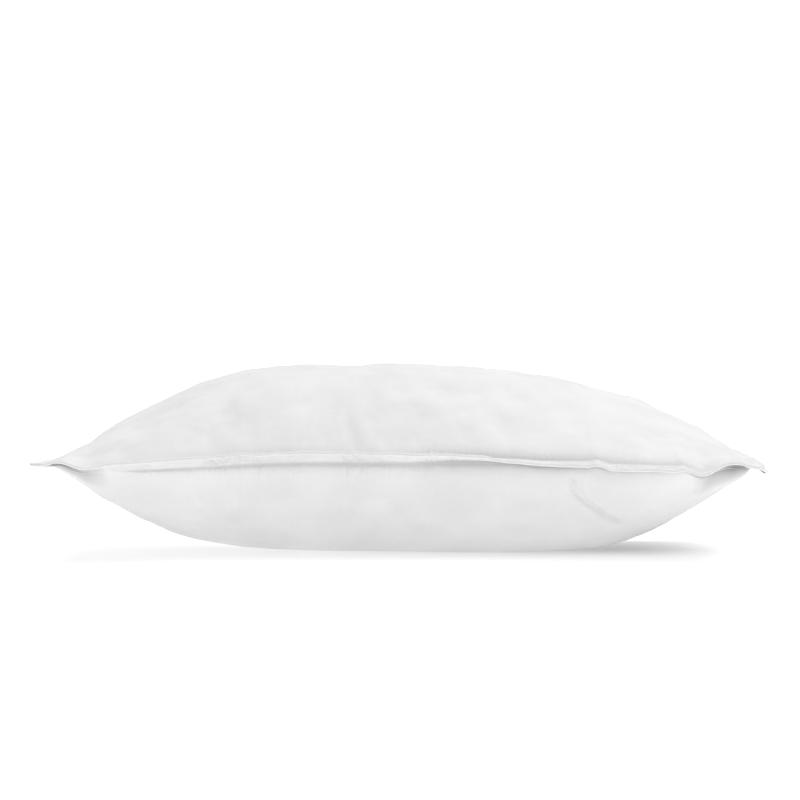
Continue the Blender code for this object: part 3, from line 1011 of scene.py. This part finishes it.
class Tree:
    """Adds nodes to a node tree. A value is a number, a colour or another node's socket."""

    def __init__(self, tree):
        self.tree = tree

    def add(self, kind, inputs=(), **settings):
        node = self.tree.nodes.new(kind)
        for key, value in settings.items():
            setattr(node, key, value)
        for socket, value in dict(inputs).items():
            if isinstance(value, bpy.types.NodeSocket):
                self.tree.links.new(value, node.inputs[socket])
            else:
                node.inputs[socket].default_value = value
        return node

    def math(self, operation, first, second=0.5):
        return self.add("ShaderNodeMath", {0: first, 1: second}, operation=operation).outputs[0]

    def axes(self, vector):
        return self.add("ShaderNodeSeparateXYZ", {0: vector}).outputs

    def spanned(self, value, low, high, at_low, at_high, kind="LINEAR"):
        """A value that goes from at_low to at_high while another goes from low to high."""
        inputs = {"Value": value, "From Min": low, "From Max": high, "To Min": at_low, "To Max": at_high}
        return self.add("ShaderNodeMapRange", inputs, interpolation_type=kind).outputs[0]


class Nodes(Tree):
    """One node material, with short ways to add what cloth needs. Noise scales are per metre."""

    def __init__(self, name):
        self.material = bpy.data.materials.new(name)
        self.material.use_nodes = True
        super().__init__(self.material.node_tree)
        self.shader = self.tree.nodes["Principled BSDF"]
        self.shader.inputs["Metallic"].default_value = 0
        self.cloth = self.add("ShaderNodeUVMap", uv_map="metres")

    def noise(self, scale, detail=3.0, vector=None, roughness=0.5):
        place = vector or self.cloth.outputs[0]
        inputs = {"Vector": place, "Scale": scale, "Detail": detail, "Roughness": roughness}
        return self.add("ShaderNodeTexNoise", inputs).outputs["Fac"]

    def ramp(self, fac, low, high, start=0.35, end=0.65):
        node = self.add("ShaderNodeValToRGB", {"Fac": fac})
        node.color_ramp.elements[0].position, node.color_ramp.elements[0].color = start, (*low, 1)
        node.color_ramp.elements[1].position, node.color_ramp.elements[1].color = end, (*high, 1)
        return node.outputs["Color"]

    def spread(self, fac, low, high):
        return self.spanned(fac, 0.0, 1.0, low, high)

    def plain_weave(self, turn=0.0):
        """Height of warp and weft passing over and under each other, from 0 to 1."""
        turned = self.add("ShaderNodeMapping", {"Vector": self.cloth.outputs[0], "Rotation": (0, 0, turn)})
        ends = self.axes(turned.outputs[0])
        across = [self.math("MULTIPLY", ends[axis], math.pi / WEAVE_PITCH) for axis in (0, 1)]
        over = [self.math("ABSOLUTE", self.math("SINE", way)) for way in across]
        checks = self.add("ShaderNodeTexChecker", {"Vector": turned.outputs[0], "Scale": 1 / WEAVE_PITCH})
        return self.add("ShaderNodeMix", {0: checks.outputs["Fac"], 2: over[0], 3: over[1]}).outputs[0]

    def bump(self, height, distance, strength, under=None):
        inputs = {"Height": height, "Distance": distance, "Strength": strength}
        if under is not None:
            inputs["Normal"] = under
        return self.add("ShaderNodeBump", inputs).outputs[0]

    def open_share(self, reach, itself):
        """How much of the sky above a point is free, within reach, of cloth or of only the piece itself."""
        settings = {"only_local": itself, "samples": 8}
        return self.add("ShaderNodeAmbientOcclusion", {"Distance": reach}, **settings).outputs["AO"]

    def scaled(self, colour, share):
        inputs = {0: colour, "Scale": share}
        return self.add("ShaderNodeVectorMath", inputs, operation="SCALE").outputs[0]

    def painted_hollow_shade(self, colour):
        """Painted shade: darker in the hollows of the underside and on faces turned down, most of all by
        the seam under the ears.
        """
        closed = self.spanned(self.open_share(HOLLOW_REACH, True), *HOLLOW_SHADE, HOLLOW_PAINTED_SHADE, 0.0)
        place = self.axes(self.cloth.outputs[0])
        at_end = self.spanned(self.math("ABSOLUTE", place[0]), *EAR_ALONG, 0.0, EAR_PAINTED_SHADE)
        at_seam = self.spanned(self.math("ABSOLUTE", place[1]), *EAR_ACROSS, 0.0, 1.0)
        under_ear = self.math("MULTIPLY", at_end, at_seam)
        facing = self.axes(self.add("ShaderNodeNewGeometry").outputs["Normal"])
        downward = self.spanned(facing[2], *UNDERSIDE, 1.0, 0.0)
        painted_shade = self.math("MULTIPLY", self.math("MAXIMUM", closed, under_ear), downward)
        return self.scaled(colour, self.math("SUBTRACT", 1.0, painted_shade))

    def finish(self, colour, roughness, normal, **constants):
        for socket, value in (("Base Color", colour), ("Roughness", roughness), ("Normal", normal)):
            self.tree.links.new(value, self.shader.inputs[socket])
        for socket, value in constants.items():
            self.shader.inputs[socket.replace("_", " ")].default_value = value
        return self.material


def ticking_material():
    """Down-proof cotton ticking: a tight plain weave with slubs and faint crinkles."""
    n = Nodes("ticking_weave")
    warp = n.add("ShaderNodeMapping", {"Vector": n.cloth.outputs[0], "Scale": (1, 0.06, 1)}).outputs[0]
    weft = n.add("ShaderNodeMapping", {"Vector": n.cloth.outputs[0], "Scale": (0.06, 1, 1)}).outputs[0]
    slubs = n.math("ADD", n.noise(900, 2, warp), n.noise(900, 2, weft))
    crinkles = n.noise(170, 4, roughness=0.6)
    patches = n.noise(14, 3)
    shade = n.math("ADD", n.math("MULTIPLY", patches, 0.7), n.math("MULTIPLY", slubs, 0.15))
    colour = n.ramp(shade, TICKING_DARK, TICKING_LIGHT, 0.38, 0.62)
    normal = n.bump(crinkles, 0.00045, 0.35)
    normal = n.bump(slubs, 0.00008, 0.5, normal)
    normal = n.bump(n.plain_weave(), 0.00006, 0.6, normal)
    roughness = n.spread(n.noise(60, 2), 0.80, 0.96)
    finish = {"Sheen_Weight": 0.18, "Sheen_Roughness": 0.4, "Specular_IOR_Level": 0.25}
    # the colour carries painted shade in the hollows of the underside and under the ears
    return n.finish(n.painted_hollow_shade(colour), roughness, normal, **finish)


def binding_material():
    """The same cotton cut on the bias, so its weave runs at 45 degrees over the bead."""
    n = Nodes("binding_weave")
    colour = n.ramp(n.noise(90, 3), BINDING_DARK, BINDING_LIGHT)
    normal = n.bump(n.noise(420, 3), 0.0002, 0.4)
    normal = n.bump(n.plain_weave(math.radians(45)), 0.00006, 0.6, normal)
    roughness = n.spread(n.noise(120, 2), 0.72, 0.88)
    # painted shade: the piping's colour is darkened where other cloth is near
    shade = n.spanned(n.open_share(BEAD_SHADE_REACH, False), *BEAD_SHADE, BEAD_SHADE_LEFT, 1.0)
    finish = {"Sheen_Weight": 0.15, "Sheen_Roughness": 0.4, "Specular_IOR_Level": 0.3}
    return n.finish(n.scaled(colour, shade), roughness, normal, **finish)


def twisted_material(name, dark, light, ply_length, gloss):
    """Yarn: slanting plies with loose fibres; its colour is darker in the grooves between the plies, which
    is painted shade.
    """
    n = Nodes(name)
    ends = n.axes(n.cloth.outputs[0])
    along = n.math("MULTIPLY", ends[0], math.pi / ply_length)
    slanting = n.math("ADD", along, n.math("MULTIPLY", ends[1], math.pi / (0.6 * ply_length)))
    plies = n.math("ABSOLUTE", n.math("SINE", slanting))
    # painted shade: darker where the plies meet, lighter on their crests
    colour = n.ramp(plies, dark, light, 0.0, 0.6)
    normal = n.bump(n.noise(2500, 2), 0.00004, 0.5)
    normal = n.bump(plies, 0.00008, 0.7, normal)
    return n.finish(colour, n.spread(n.noise(800, 2), gloss, gloss + 0.15), normal, Sheen_Weight=0.2)


def down_material():
    """Loose down: soft tufts, without a weave."""
    n = Nodes("down_fluff")
    colour = n.ramp(n.noise(160, 5), DOWN_DARK, DOWN_LIGHT)
    normal = n.bump(n.noise(320, 6, roughness=0.7), 0.0012, 0.8)
    return n.finish(colour, n.spread(n.noise(90, 2), 0.88, 1.0), normal, Sheen_Weight=0.5)


def floor_material():
    """A pale floor with a painted glow of its own, though it is no lamp, so that the pillow's shadow stays
    as light as it is; a painted shadow dims that glow under the pillow.
    """
    n = Nodes("pale_floor")
    place = n.add("ShaderNodeTexCoord").outputs["Object"]
    colour = n.ramp(n.noise(3, 2, place), FLOOR_DARK, FLOOR_LIGHT)
    normal = n.bump(n.noise(40, 2, place), 0.0002, 0.05)
    ends = n.axes(place)
    # painted shadow: the glow is taken down under the pillow, most under its right-hand end
    painted_shadow = PAINTED_SHADOW_DEPTH
    for axis, *limits in PAINTED_SHADOW_SPANS:
        painted_shadow = n.math("MULTIPLY", n.spanned(ends[axis], *limits, "SMOOTHSTEP"), painted_shadow)
    # painted light: the floor's own glow, brighter behind the pillow
    glow = n.spanned(ends["Y"], *GLOW_STEP, FLOOR_GLOW, BACK_GLOW, "SMOOTHSTEP")
    glow = n.math("SUBTRACT", glow, painted_shadow)
    n.tree.links.new(glow, n.shader.inputs["Emission Strength"])
    white = {"Emission_Color": (1, 1, 1, 1), "Specular_IOR_Level": 0.0}
    return n.finish(colour, n.spread(n.noise(5, 2, place), 0.9, 1.0), normal, **white)


# ---- studio

CAMERA_PLACE = (0.0, -2.990, 0.2524)
CAMERA_DOWN = math.radians(2.24)
LENS = 141.8
HORIZON_LIGHT, SKY_LIGHT = 1.04, 1.06  # of the backdrop and of the ceiling
HORIZON_TOP, SKY_FROM = 0.19, 0.26  # sine of the height at which one ends and one starts
LEFT_LIGHT, RIGHT_LIGHT = 0.14, 0.18  # share of that on either side
FRONT_LIGHT = 0.16  # and behind the camera
# Axis of the direction of the light, from, to, and share of the light at each
SIDE_SPANS = (
    ("X", -0.95, -0.25, LEFT_LIGHT, 1.0), ("X", 0.25, 0.95, 1.0, RIGHT_LIGHT),
    ("Y", -0.80, 0.0, FRONT_LIGHT, 1.0),
)
# The key light is a wide sun, and the fill a square lamp above the front right
KEY_STRENGTH = 1.12
KEY_ANGLE = math.radians(60)
KEY_FROM = Vector((0.15, 0.20, 1.0))
FILL_POWER = 19.0
FILL_SIZE = 1.6
FILL_PLACE = Vector((0.9, -1.2, 2.3))
FILL_AIM = Vector((0, 0, 0.08))
FLOOR_HALF = 40.0


def add_camera():
    data = bpy.data.cameras.new("camera")
    data.lens = LENS
    data.sensor_width = 36
    data.clip_start, data.clip_end = 0.05, 200
    camera = linked("camera", data)
    camera.location = CAMERA_PLACE
    camera.rotation_euler = (math.pi / 2 - CAMERA_DOWN, 0, 0)
    bpy.context.scene.camera = camera


def add_backdrop():
    """Light from all round, dimmer from the sides and from behind the camera."""
    world = bpy.data.worlds.new("studio")
    world.use_nodes = True
    n = Tree(world.node_tree)
    direction = n.axes(n.add("ShaderNodeTexCoord").outputs["Generated"])
    heights = HORIZON_TOP, SKY_FROM, HORIZON_LIGHT, SKY_LIGHT
    light = n.spanned(direction["Z"], *heights, "SMOOTHSTEP")
    for axis, *limits in SIDE_SPANS:
        light = n.math("MULTIPLY", light, n.spanned(direction[axis], *limits, "SMOOTHSTEP"))
    background = n.tree.nodes["Background"]
    background.inputs["Color"].default_value = (1, 1, 1, 1)
    n.tree.links.new(light, background.inputs["Strength"])
    bpy.context.scene.world = world


def add_lamp(name, kind, energy, light_from, **settings):
    data = bpy.data.lights.new(name, kind)
    data.energy = energy
    for key, value in settings.items():
        setattr(data, key, value)
    lamp = linked(name, data)
    lamp.rotation_euler = light_from.to_track_quat("Z", "Y").to_euler()
    return lamp


def add_light():
    add_backdrop()
    add_lamp("key", "SUN", KEY_STRENGTH, KEY_FROM, angle=KEY_ANGLE)
    fill = add_lamp("fill", "AREA", FILL_POWER, FILL_PLACE - FILL_AIM, size=FILL_SIZE)
    fill.location = FILL_PLACE
    bpy.context.scene.view_settings.view_transform = "Standard"


def add_floor():
    mesh = bpy.data.meshes.new("floor")
    corners = [(x * FLOOR_HALF, y * FLOOR_HALF, 0) for x, y in ((-1, -1), (1, -1), (1, 1), (-1, 1))]
    mesh.from_pydata(corners, [], [(0, 1, 2, 3)])
    mesh.materials.append(floor_material())
    linked("floor", mesh)


# ---- putting it together

def stands_for(piece, node):
    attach(piece, "root")
    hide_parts(node)
    return piece


def add_stitching():
    thread = twisted_material("thread_ply", THREAD_DARK, THREAD_LIGHT, 0.0006, 0.5)
    for row, distance in (("inner", INNER_ROW), ("outer", OUTER_ROW)):
        for kind, on_top in (("needle", True), ("bobbin", False)):
            stitches = add_stitches(f"{kind}_stitches_{row}", distance, on_top, thread)
            stands_for(stitches, f"{kind}_thread_{row}")


def main():
    moved = simulate_cover()
    upper_moved, lower_moved = (mirrored_out(wrinkles_of(grid)) for grid in moved)
    ticking = ticking_material()
    upper = stands_for(add_panel("upper_cover", True, upper_moved, ticking), "upper_panel")
    lower = stands_for(add_panel("lower_cover", False, lower_moved, ticking), "lower_panel")
    stands_for(add_sleeve(binding_material()), "piping_sleeve")
    cotton = twisted_material("cotton_ply", CORD_DARK, CORD_LIGHT, 0.0022, 0.85)
    stands_for(add_cord(cotton), "piping_cord")
    add_stitching()
    filling = stands_for(add_filling(upper_moved, lower_moved, down_material()), "filling")
    add_floor()
    add_camera()
    add_light()


main()
